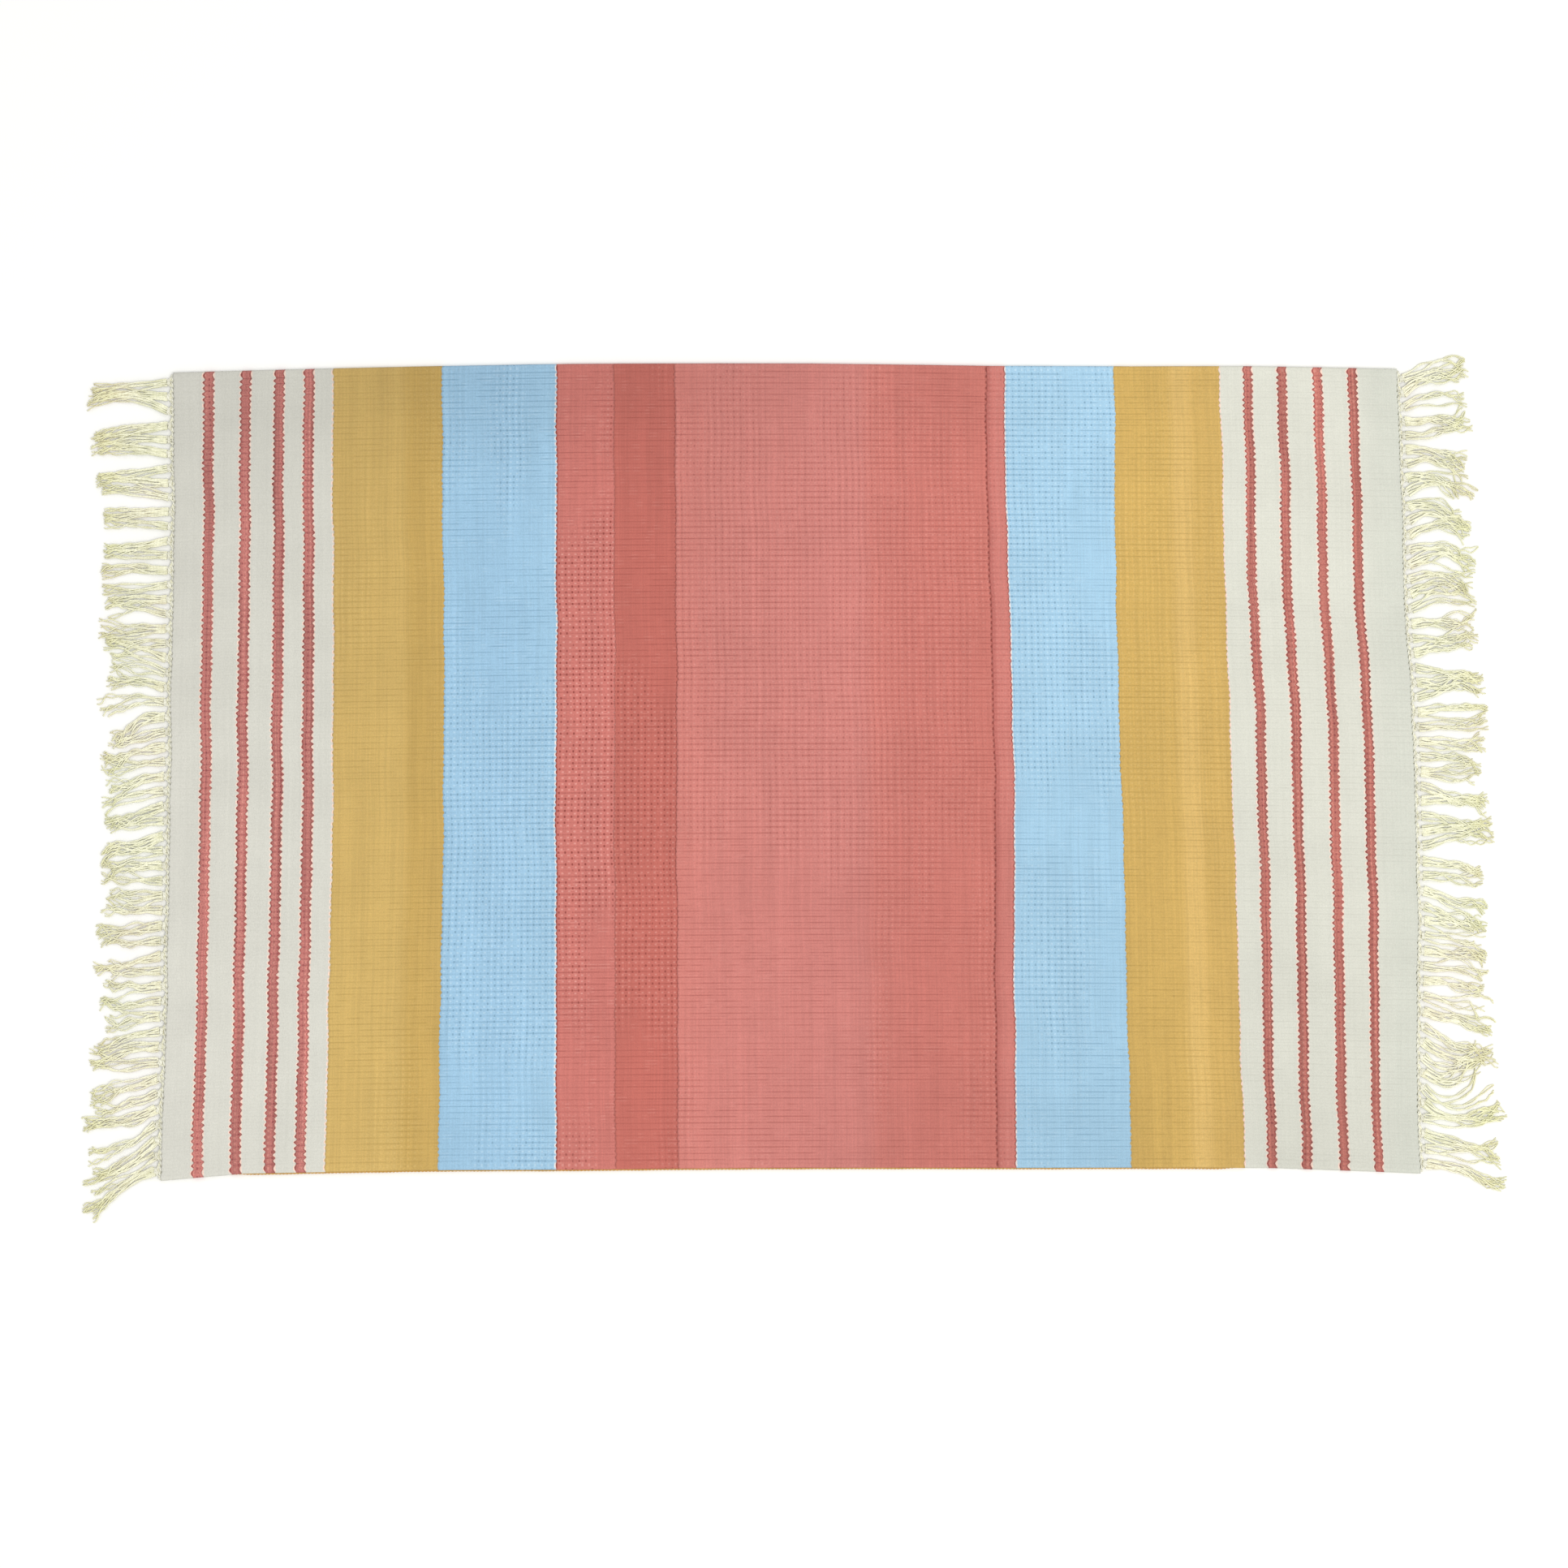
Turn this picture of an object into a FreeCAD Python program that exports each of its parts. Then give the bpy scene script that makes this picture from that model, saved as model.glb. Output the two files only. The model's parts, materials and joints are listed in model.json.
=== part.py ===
import FreeCAD, Part
import math
import os

# A flat-woven cotton runner rug with a knotted fringe at both ends.
#
# The cloth lies flat on the floor, z = 0. X runs along the rug, which is the direction of the
# warp yarns, Y across it, along the weft, and Z up. The origin is on the floor under the middle.
#
# Undyed warp yarns run inside the cloth from knot to knot, in pairs, as the loom's reed spaced
# them. Dyed weft yarns are beaten down over them so tightly that they hide them, one colour after
# another, and each stretch of one colour is a band of its own here. A cord closes each long edge.
# At each end two twined strands grip the warp yarns, and past them the yarns are knotted together
# in small groups, which makes the tassels.
#
# The cloth bends at straight lines across it, so the yarns that cross such a line are made in
# lengths that meet there. Yarns are prisms and cylinders, since their twist is too fine to model,
# and a pair of warp yarns is one prism.

V = FreeCAD.Vector

# Driving dimensions, in millimetres and degrees.
WIDTH = 600.0             # across the rug, over both edge cords
THICKNESS = 4.0           # of the cloth
WARP_PITCH = 4.4          # from one pair of warp yarns to the next
WARP_SIZE = 1.6           # a pair of warp yarns across its flats
EDGE_CORD_DIAMETER = 2.6
TWINE_LENGTH = 1.4        # of the twined heading, along the rug
KNOT_DIAMETER = 4.0
KNOT_LENGTH = 4.2
WARPS_PER_TASSEL = 2.5    # on average: two pairs and three pairs by turns
TASSEL_LENGTH = 52.0      # of the longest tassel, past its knot
TASSEL_UNEVENNESS = 0.12  # the shortest tassel is shorter by this share
TASSEL_TURN = 137.5       # how far the unevenness turns from one tassel to the next
TASSEL_ROOT_WIDTH = 4.4
TASSEL_TIP_WIDTH = 7.6
TASSEL_TIP_HEIGHT = 1.4
FAN_ANGLE = 22.0          # how far the corner tassels splay outwards
FAN_REACH = 45.0          # the splay fades over this distance from the corner

# The weft bands from the left end to the right one: node name, length along the rug, and the
# panel that the band belongs to. A panel is a stretch of cloth between two bending lines.
BANDS = [
    ("left_cream_band_1", 21.5, "left_border"),
    ("left_rose_stripe_1", 6.9, "left_border"),
    ("left_cream_band_2", 19.4, "left_border"),
    ("left_rose_stripe_2", 7.1, "left_border"),
    ("left_cream_band_3", 17.7, "left_border"),
    ("left_rose_stripe_3", 7.0, "left_border"),
    ("left_cream_band_4", 14.9, "left_border"),
    ("left_rose_stripe_4", 7.1, "left_border"),
    ("left_cream_band_5", 14.6, "left_border"),
    ("left_mustard_band", 80.9, "left_mustard"),
    ("left_blue_band", 85.0, "left_blue"),
    ("red_band_light", 42.6, "centre"),
    ("red_band_dark", 45.4, "centre"),
    ("red_band_rose", 229.9, "centre"),
    ("red_band_edge", 13.7, "centre"),
    ("right_blue_band", 82.7, "right_blue"),
    ("right_mustard_band", 79.7, "right_mustard"),
    ("right_cream_band_5", 18.7, "right_border"),
    ("right_rose_stripe_4", 6.5, "right_border"),
    ("right_cream_band_4", 18.9, "right_border"),
    ("right_rose_stripe_3", 6.5, "right_border"),
    ("right_cream_band_3", 20.1, "right_border"),
    ("right_rose_stripe_2", 6.5, "right_border"),
    ("right_cream_band_2", 19.5, "right_border"),
    ("right_rose_stripe_1", 6.6, "right_border"),
    ("right_cream_band_1", 30.1, "right_border"),
]

# What follows from them.
BODY_LENGTH = sum(length for _, length, _ in BANDS)
CLOTH_WIDTH = WIDTH - 2 * EDGE_CORD_DIAMETER
WARP_COUNT = math.floor(CLOTH_WIDTH / WARP_PITCH)
TASSEL_COUNT = round(WARP_COUNT / WARPS_PER_TASSEL)
TASSEL_PITCH = CLOTH_WIDTH / TASSEL_COUNT
MID_HEIGHT = THICKNESS / 2
KNOT_START = BODY_LENGTH / 2 + TWINE_LENGTH
TASSEL_START = KNOT_START + KNOT_LENGTH
YARN_SIDES = 6            # of a warp pair's section


def centred_row(count, pitch):
    """Places along Y of a row of equal steps, centred on the rug's middle line."""
    return [(i - (count - 1) / 2) * pitch for i in range(count)]


def polygon(points):
    """A closed wire through the points."""
    return Part.makePolygon(points + points[:1])


def save(node, solids):
    """Write a node's solids, one or a group, to its STEP file."""
    shape = solids[0] if len(solids) == 1 else Part.makeCompound(solids)
    shape.exportStep(f"parts/{node}.step")
    print(f"{node}: {len(solids)} solid(s), {shape.Volume:.0f} mm3")


# ---- the cloth -------------------------------------------------------------------------------

def yarn_outline(x, y):
    """A warp pair's section at x: a hexagon, flat on top and below, centred in the cloth."""
    radius = WARP_SIZE / math.sqrt(3)
    turns = [2 * math.pi * i / YARN_SIDES for i in range(YARN_SIDES)]
    return polygon([V(x, y + radius * math.cos(t), MID_HEIGHT + radius * math.sin(t)) for t in turns])


def weft_band(start, length):
    """A stretch of weft: a slab that wraps round every warp pair, so it has a hole for each."""
    half = CLOTH_WIDTH / 2
    outline = polygon([
        V(start, -half, 0), V(start, half, 0),
        V(start, half, THICKNESS), V(start, -half, THICKNESS),
    ])
    holes = [yarn_outline(start, y) for y in centred_row(WARP_COUNT, WARP_PITCH)]
    return Part.Face([outline] + holes).extrude(V(length, 0, 0))


def warp_yarns(start, end):
    """The parallel pairs of warp yarns from start to end."""
    rows = centred_row(WARP_COUNT, WARP_PITCH)
    return [Part.Face(yarn_outline(start, y)).extrude(V(end - start, 0, 0)) for y in rows]


def edge_cord(start, end, side):
    """The cord that closes one long edge. side is -1 at the front edge and 1 at the back."""
    y = side * (CLOTH_WIDTH + EDGE_CORD_DIAMETER) / 2
    return Part.makeCylinder(EDGE_CORD_DIAMETER / 2, end - start, V(start, y, MID_HEIGHT), V(1, 0, 0))


# ---- the ends --------------------------------------------------------------------------------
# end is -1 at the left end of the rug and 1 at the right.

def twine_strand(end, bottom, top):
    """One strand of the twined heading, which crosses the rug above or below the warp yarns."""
    inner = end * BODY_LENGTH / 2
    low = min(inner, inner + end * TWINE_LENGTH)
    return Part.makeBox(TWINE_LENGTH, CLOTH_WIDTH, top - bottom, V(low, -CLOTH_WIDTH / 2, bottom))


def knot(end, y):
    """An overhand knot that gathers two or three warp pairs, as a short barrel on the floor."""
    return Part.makeCylinder(
        KNOT_DIAMETER / 2, KNOT_LENGTH, V(end * KNOT_START, y, KNOT_DIAMETER / 2), V(end, 0, 0)
    )


def tassel_section(distance, width, height):
    """A tassel's section, standing on the floor at a distance along it."""
    return polygon([
        V(distance, -width / 2, 0), V(distance, width / 2, 0),
        V(distance, width / 2, height), V(distance, -width / 2, height),
    ])


def tassel(end, y):
    """The loose strands past a knot, as a flat wedge that widens and thins towards its tip.

    It leaves the knot at the knot's full height, so that it can turn up about the knot's top.
    Tassels near a corner splay outwards, and their lengths vary in turn from the middle out.
    """
    turn = math.radians(TASSEL_TURN) * abs(y) / TASSEL_PITCH
    length = TASSEL_LENGTH * (1 - TASSEL_UNEVENNESS * (1 + math.sin(turn)) / 2)
    splay = math.copysign(FAN_ANGLE, y) * math.exp((abs(y) - CLOTH_WIDTH / 2) / FAN_REACH)
    wedge = Part.makeLoft([
        tassel_section(0, TASSEL_ROOT_WIDTH, KNOT_DIAMETER),
        tassel_section(length, TASSEL_TIP_WIDTH, TASSEL_TIP_HEIGHT),
    ], True, True)
    wedge.rotate(V(0, 0, 0), V(0, 0, 1), splay)
    inset = TASSEL_ROOT_WIDTH / 2 * math.sin(math.radians(abs(splay)))
    wedge.translate(V(TASSEL_START + inset, y, 0))
    return wedge if end > 0 else wedge.mirror(V(0, 0, 0), V(1, 0, 0))


# ---- all nodes -------------------------------------------------------------------------------

os.makedirs("parts", exist_ok=True)

# Each panel's first and last place along the rug.
panels = {}
place = -BODY_LENGTH / 2
for node, length, panel in BANDS:
    save(node, [weft_band(place, length)])
    panels.setdefault(panel, [place, place])
    place += length
    panels[panel][1] = place

# The warp yarns of the end panels run on between the twined strands, to the knots.
for panel, (start, end) in panels.items():
    save(f"{panel}_edge_cord_front", [edge_cord(start, end, -1)])
    save(f"{panel}_edge_cord_back", [edge_cord(start, end, 1)])
    warp_start = -KNOT_START if panel == BANDS[0][2] else start
    warp_end = KNOT_START if panel == BANDS[-1][2] else end
    save(f"{panel}_warp_yarns", warp_yarns(warp_start, warp_end))

tassel_places = centred_row(TASSEL_COUNT, TASSEL_PITCH)
for name, end in (("left", -1), ("right", 1)):
    save(f"{name}_heading_twine_upper", [twine_strand(end, MID_HEIGHT + WARP_SIZE / 2, THICKNESS)])
    save(f"{name}_heading_twine_lower", [twine_strand(end, 0, MID_HEIGHT - WARP_SIZE / 2)])
    save(f"{name}_fringe_knots", [knot(end, y) for y in tassel_places])
    save(f"{name}_fringe_tassels", [tassel(end, y) for y in tassel_places])

print(f"cloth {BODY_LENGTH:.1f} x {WIDTH:.1f}, {WARP_COUNT} warp pairs, {TASSEL_COUNT} tassels an end")
print("panels run", {panel: [round(x, 3) for x in ends] for panel, ends in panels.items()})
print(f"tassels turn about x = {TASSEL_START:.2f}, z = {KNOT_DIAMETER}")
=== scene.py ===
"""Looks of a hand-woven cotton runner rug: weft, warp, edge cords, headings, knots, tassels."""

import json
import math

import bpy
import numpy as np
from bpy.props import FloatProperty, FloatVectorProperty, IntProperty, PointerProperty
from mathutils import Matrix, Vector

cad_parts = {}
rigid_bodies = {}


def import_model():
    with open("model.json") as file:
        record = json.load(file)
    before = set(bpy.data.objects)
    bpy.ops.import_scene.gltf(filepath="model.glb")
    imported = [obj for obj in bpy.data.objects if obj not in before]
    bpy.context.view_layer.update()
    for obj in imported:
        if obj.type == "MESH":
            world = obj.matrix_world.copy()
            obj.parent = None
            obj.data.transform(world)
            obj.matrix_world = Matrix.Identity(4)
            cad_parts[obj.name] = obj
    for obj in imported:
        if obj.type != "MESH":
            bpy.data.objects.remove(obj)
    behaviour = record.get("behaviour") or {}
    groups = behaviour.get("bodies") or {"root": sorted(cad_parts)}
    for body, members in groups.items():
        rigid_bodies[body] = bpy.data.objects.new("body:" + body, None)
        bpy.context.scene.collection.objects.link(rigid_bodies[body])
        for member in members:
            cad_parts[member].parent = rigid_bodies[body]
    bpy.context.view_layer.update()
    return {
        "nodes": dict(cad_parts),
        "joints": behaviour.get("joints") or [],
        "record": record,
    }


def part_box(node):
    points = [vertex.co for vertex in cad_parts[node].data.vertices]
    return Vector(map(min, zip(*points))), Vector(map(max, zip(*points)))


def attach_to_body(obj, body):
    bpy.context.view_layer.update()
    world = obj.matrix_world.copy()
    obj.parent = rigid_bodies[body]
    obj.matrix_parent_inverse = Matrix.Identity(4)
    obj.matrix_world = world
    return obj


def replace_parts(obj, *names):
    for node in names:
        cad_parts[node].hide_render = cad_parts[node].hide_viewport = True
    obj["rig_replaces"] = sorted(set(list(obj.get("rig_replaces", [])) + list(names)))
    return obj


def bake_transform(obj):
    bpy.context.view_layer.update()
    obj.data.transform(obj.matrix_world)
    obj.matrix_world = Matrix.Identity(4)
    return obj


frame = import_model()

bl_info = {
    "name": "Hand-woven runner rug",
    "version": (1, 0, 0),
    "blender": (4, 5, 0),
    "location": "3D View > Sidebar > Rug",
    "description": "Makes the yarns of a flat-woven cotton rug round its packed CAD frame",
    "category": "Add Mesh",
}

# Lengths in this file are in millimetres along the rug (u), across it (v) and up (z), and become
# metres where a mesh is made. The rug's ends are "left" at -u and "right" at +u.
MM = 0.001
BODY_OF = {
    node: body for body, nodes in frame["record"]["behaviour"]["bodies"].items() for node in nodes
}
FOLD_OF = {joint["child"]: joint for joint in frame["joints"]}
BANDS = sorted(
    (node for node in frame["nodes"] if "_band" in node or "_stripe" in node),
    key=lambda node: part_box(node)[0].x,
)
HALF_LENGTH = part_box(BANDS[-1])[1].x / MM
HALF_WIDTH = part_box(BANDS[0])[1].y / MM
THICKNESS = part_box(BANDS[0])[1].z / MM
KNOT_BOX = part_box("right_fringe_knots")
KNOT_PLACE = (KNOT_BOX[0].x + KNOT_BOX[1].x) / 2 / MM
KNOT_HEIGHT = (KNOT_BOX[0].z + KNOT_BOX[1].z) / 2 / MM
WARP_PAIRS = 135
RIB_PITCH = 4.4       # from one pair of warp yarns to the next
TASSEL_COUNT = 54     # at each end
# How far past its line a fold bends the cloth of a panel, and the tassels past their knots.
CLOTH_BEND = {"blue": 34.0, "mustard": 34.0, "border": 14.0}
FRINGE_BEND = 12.0
STRAYING = 10         # the furthest that the leaning cloth carries a warp yarn along the rug


# ---- settings --------------------------------------------------------------------------------

def linear(hex_colour):
    """An sRGB hex colour as linear RGB.

    A channel c becomes c / 12.92 up to 0.04045, and ((c + 0.055) / 1.055) ** 2.4 above it.
    """
    channels = [int(hex_colour[i:i + 2], 16) / 255 for i in (1, 3, 5)]
    return tuple(c / 12.92 if c <= 0.04045 else ((c + 0.055) / 1.055) ** 2.4 for c in channels)


def dye(name, description, hex_colour):
    """A colour setting with its default given as sRGB hex."""
    return FloatVectorProperty(
        name=name, description=description, subtype="COLOR", size=3, min=0, max=1,
        default=linear(hex_colour),
    )


def millimetres(name, description, default):
    """A length setting, in millimetres."""
    return FloatProperty(name=name, description=description, default=default, precision=2)


class RugClothSettings(bpy.types.PropertyGroup):
    rib_pitch: millimetres("Rib pitch", "From one pair of warp yarns to the next, mm", RIB_PITCH)
    main_groove: millimetres("Main groove", "Depth between two pairs of warp yarns, mm", 0.55)
    second_groove: millimetres("Second groove", "Depth between the two yarns of a pair, mm", 0.22)
    row_step: millimetres("Row step", "Longest mesh step along the rug, mm", 4.25)
    tooth: millimetres("Tooth", "How far two wefts interlock at their common edge, mm", 0.5)
    lean: FloatProperty(name="Lean", description="Sideways lean of the bands over the width",
                        default=-0.0075, precision=4)
    turn: FloatProperty(name="Turn", description="Small turn of the whole rug on the floor",
                        default=0.004, precision=4)
    bow: millimetres("Bow", "How far the long edges bow at mid length, mm", 5.5)
    lift: millimetres("Lift", "Highest soft hump of the cloth off the floor, mm", 0.7)


class RugFringeSettings(bpy.types.PropertyGroup):
    strand: millimetres("Strand", "Diameter of one ply of a tassel's yarn, mm", 0.95)
    seed: IntProperty(name="Seed", description="Start of the tassels' chance", default=5)


class RugDyeSettings(bpy.types.PropertyGroup):
    cream_left: dye("Cream, left", "Undyed weft of the left border", "#d3d2c8")
    cream_right: dye("Cream, right", "Undyed weft of the right border", "#d7d7cb")
    rose_left: dye("Rose stripe, left", "Weft of the four left stripes", "#bf7770")
    rose_right: dye("Rose stripe, right", "Weft of the four right stripes", "#bc7267")
    mustard_left: dye("Mustard, left", "Weft of the left mustard band", "#cbab65")
    mustard_right: dye("Mustard, right", "Weft of the right mustard band", "#cfab60")
    blue_left: dye("Sky blue, left", "Weft of the left blue band", "#9ec4de")
    blue_right: dye("Sky blue, right", "Weft of the right blue band", "#a3c9e1")
    light_red: dye("Light red", "First lot of the middle field", "#ca776e")
    deep_red: dye("Deep red", "Second lot of the middle field", "#c16b60")
    rose_red: dye("Rose red", "Third and longest lot of the middle field", "#cc7f77")
    edge_red: dye("Edge red", "Last lot of the middle field", "#cc7c73")
    warp: dye("Warp cotton", "Undyed warp and tassels", "#fffee4")
    knot: dye("Knot cotton", "Knots and twined headings, greyed by handling", "#f4f3e3")
    tip: dye("Tassel tips", "Cut ends of the tassels, yellowed", "#f6f5c5")
    ochre: dye("Edge cord", "Cord inside the two long edges", "#cda052")


class RugStageSettings(bpy.types.PropertyGroup):
    elevation: FloatProperty(name="Elevation", description="Camera height above the horizon",
                             subtype="ANGLE", default=math.radians(80.7))
    distance: FloatProperty(name="Distance", description="From the camera to what it looks at",
                            subtype="DISTANCE", unit="LENGTH", default=3.188)
    lens: FloatProperty(name="Lens", description="Focal length on a 36 mm sensor", default=100)
    sky: FloatProperty(name="Sky", description="Strength of the even white light", default=0.82)
    lamp: FloatProperty(name="Lamp", description="Power of the soft lamp, W", default=36.5)


# ---- meshes ----------------------------------------------------------------------------------

def wander(places, wavelengths, seed):
    """A smooth irregular line about 0: the mean of sines of the wavelengths, at seeded phases."""
    phases = np.random.default_rng(seed).uniform(0, 2 * np.pi, len(wavelengths))
    waves = [np.sin(2 * np.pi * places / w + p) for w, p in zip(wavelengths, phases)]
    return sum(waves) / len(waves)


def smooth(share):
    """The soft step 3 t^2 - 2 t^3 of a share held to 0..1."""
    share = np.clip(share, 0, 1)
    return share * share * (3 - 2 * share)


def laid(cloth, u, v, z):
    """Where a point of the flat cloth lies on the floor, in metres.

    Along: u + lean * v, a bulge that depends on u, times a bell curve of v, a small wander of v,
    a lean of the right border that sets in above its middle, and what the corners stray. Across:
    v + bow * (2/3 - (u / half length)^2) + turn * u + the ripple of each long edge, which fades
    over 120 mm. Up: z + a hump that is nowhere below 0 and fades at the ends.
    """
    u, v, z = np.broadcast_arrays(u, v, z)
    places = [-455, -338, -257, -172, 60, 159, 242, 321, 400, 455]
    bulge = np.interp(u, places, [0, 3, 3, 0, 0.5, 2.8, -2, -0.5, 1, 0])
    centre = np.interp(u, places, [0, 0, 0, 0, 0, 0, 90, 60, 0, 0])
    x = u + cloth.lean * v + bulge * np.exp(-(((v - centre) / 170) ** 2))
    x = x + 0.9 * wander(v + 0.35 * u, [310, 173, 97, 61], 3)
    x = x - 0.008 * v * smooth((u - 225) / 70) * smooth((345 - u) / 24)
    x = x - 3.3 * smooth((v - 30) / 110) * smooth((u - 321) / 24)
    corner = np.where(u < 0, -2.6 * (v / HALF_WIDTH) ** 4, -4.5 * smooth((-v - 60) / 180))
    x = x + corner * smooth((np.abs(u) - 405) / 50)
    back = np.interp(u, [-455, -340, -160, 15, 150, 255, 345, 455],
                     [-0.8, -0.5, -0.1, -1.2, -3.0, -2.7, -1.4, -1.6])
    front = np.interp(u, [-455, -400, -250, -160, 160, 252, 345, 455],
                      [-2.2, 1.4, 0.9, -0.2, -0.2, 0.7, 1.5, -0.5])
    y = v + cloth.bow * (2 / 3 - (u / HALF_LENGTH) ** 2) + cloth.turn * u
    y = y + np.where(v > 0, back, front) * smooth((np.abs(v) - HALF_WIDTH + 120) / 120)
    hump = 0.5 + 0.5 * wander(u + 0.4 * v, [270, 190, 118], 8) * wander(v - 0.3 * u, [330, 210], 9)
    fade = smooth((HALF_LENGTH - np.abs(u)) / 60) * smooth((HALF_WIDTH - np.abs(v)) / 40)
    return np.stack([x, y, z + cloth.lift * hump * fade], -1) * MM


def piece(name, points, faces, uv, attributes, material):
    """A mesh object: points (n, 3) in metres, faces as arrays of equal corner count, flat last.

    uv has a place for each face corner, in the faces' order. The arrays after the first are the
    flat closing faces, and the first is shaded smooth.
    """
    mesh = bpy.data.meshes.new(name)
    corners = np.concatenate([face.ravel() for face in faces])
    counts = np.concatenate([np.full(len(face), face.shape[1]) for face in faces])
    mesh.vertices.add(len(points))
    mesh.vertices.foreach_set("co", points.astype(np.float32).ravel())
    mesh.loops.add(len(corners))
    mesh.loops.foreach_set("vertex_index", corners.astype(np.int32))
    mesh.polygons.add(len(counts))
    mesh.polygons.foreach_set("loop_start", (np.cumsum(counts) - counts).astype(np.int32))
    mesh.polygons.foreach_set("use_smooth", np.arange(len(counts)) < len(faces[0]))
    mesh.update(calc_edges=True)
    mesh.uv_layers.new(name="OFBake").data.foreach_set("uv", uv.astype(np.float32).ravel())
    for key, values in attributes.items():
        kind, field = ("FLOAT", "value") if values.ndim == 1 else ("FLOAT_VECTOR", "vector")
        attribute = mesh.attributes.new(key, kind, "POINT")
        attribute.data.foreach_set(field, values.astype(np.float32).ravel())
    mesh.materials.append(material)
    made = bpy.data.objects.new(name, mesh)
    bpy.context.scene.collection.objects.link(made)
    return made


def tubes(paths, radius, sides, reference):
    """Round yarns along paths (yarn, ring, 3): points, faces, corner places and a pattern vector.

    A ring's points are the path's point + radius * (cos a * N + sin a * B), with T the path's
    direction, N = reference x T made unit, and B = T x N. Flat faces close both ends. The pattern
    vector is (length so far in mm, cos a, sin a). Each yarn has its own cell of the UV square.
    """
    count, rings, _ = paths.shape
    radius = np.broadcast_to(radius, (count, rings))
    along = np.gradient(paths, axis=1)
    along /= np.linalg.norm(along, axis=2, keepdims=True)
    side = np.cross(np.broadcast_to(reference, along.shape), along)
    side /= np.linalg.norm(side, axis=2, keepdims=True)
    other = np.cross(along, side)
    turn = 2 * np.pi * np.arange(sides) / sides
    ring = np.cos(turn)[:, None] * side[:, :, None] + np.sin(turn)[:, None] * other[:, :, None]
    points = paths[:, :, None] + radius[:, :, None, None] * ring
    index = np.arange(count * rings * sides).reshape(count, rings, sides)
    ahead = np.roll(index, -1, axis=2)
    quads = np.stack([index[:, :-1], ahead[:, :-1], ahead[:, 1:], index[:, 1:]], -1).reshape(-1, 4)
    caps = np.concatenate([index[:, 0, ::-1], index[:, -1]])
    cells = math.ceil(math.sqrt(count))
    yarn, row, column = np.meshgrid(
        np.arange(count), np.arange(rings - 1), np.arange(sides), indexing="ij"
    )
    corner = np.stack([
        np.stack([column, row], -1), np.stack([column + 1, row], -1),
        np.stack([column + 1, row + 1], -1), np.stack([column, row + 1], -1),
    ], -2)
    cell = np.stack([yarn % cells, yarn // cells], -1)[..., None, :]
    uv = (cell + 0.06 + 0.88 * corner / [sides, rings - 1]) / cells
    ends = np.concatenate([np.arange(count), np.arange(count)])
    cap_cell = np.stack([ends % cells, ends // cells], -1)[:, None, :]
    cap_ring = 0.02 * np.stack([np.cos(turn), np.sin(turn)], -1)[None]
    cap_low = np.repeat([[0.03, 0.03], [0.97, 0.97]], count, axis=0)[:, None, :]
    cap_uv = (cap_cell + cap_low + cap_ring) / cells
    step = np.linalg.norm(np.diff(paths, axis=1), axis=2) / MM
    so_far = np.concatenate([np.zeros((count, 1)), np.cumsum(step, axis=1)], axis=1)
    pattern = np.stack(np.broadcast_arrays(so_far[:, :, None], np.cos(turn), np.sin(turn)), -1)
    all_uv = np.concatenate([uv.reshape(-1, 2), cap_uv.reshape(-1, 2)])
    return points.reshape(-1, 3), [quads, caps], all_uv, pattern.reshape(-1, 3)


def yarns(name, paths, radius, material, sides=5, reference=(0, 0, 1), chance=1):
    """A node's yarns as one object, each yarn with a seeded tone of its own between 0 and 1."""
    points, faces, uv, pattern = tubes(paths, radius, sides, np.array(reference, float))
    tones = np.random.default_rng(chance).uniform(0, 1, len(paths))
    tone = np.repeat(tones, len(points) // len(paths))
    return piece(name, points, faces, uv, {"yarn": pattern, "tone": tone}, material)


def bend_of(body):
    """How far past its line the fold of a body bends, in mm."""
    return next((reach for part, reach in CLOTH_BEND.items() if part in body), FRINGE_BEND)


def attach(made, node):
    """Gives a piece its CAD node, and the body that it follows unless the body hangs on a fold;
    then the piece's transform is only baked into its mesh.
    """
    body = BODY_OF[node]
    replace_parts(made, node)
    if body not in FOLD_OF:
        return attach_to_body(made, body)
    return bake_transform(made)


# ---- materials -------------------------------------------------------------------------------

def add(tree, kind, settings, inputs):
    """Adds a node with its settings, and links or sets its inputs by name or number."""
    node = tree.nodes.new(kind)
    node.location = (180 * (len(tree.nodes) % 12), -220 * (len(tree.nodes) // 12))
    for key, value in settings.items():
        setattr(node, key, value)
    for key, value in inputs.items():
        if isinstance(value, bpy.types.NodeSocket):
            tree.links.new(value, node.inputs[key])
        else:
            node.inputs[key].default_value = value
    return node


def new_material(name):
    """An empty material and its tree."""
    made = bpy.data.materials.new(name)
    made.use_nodes = True
    made.node_tree.nodes.clear()
    return made, made.node_tree


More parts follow.
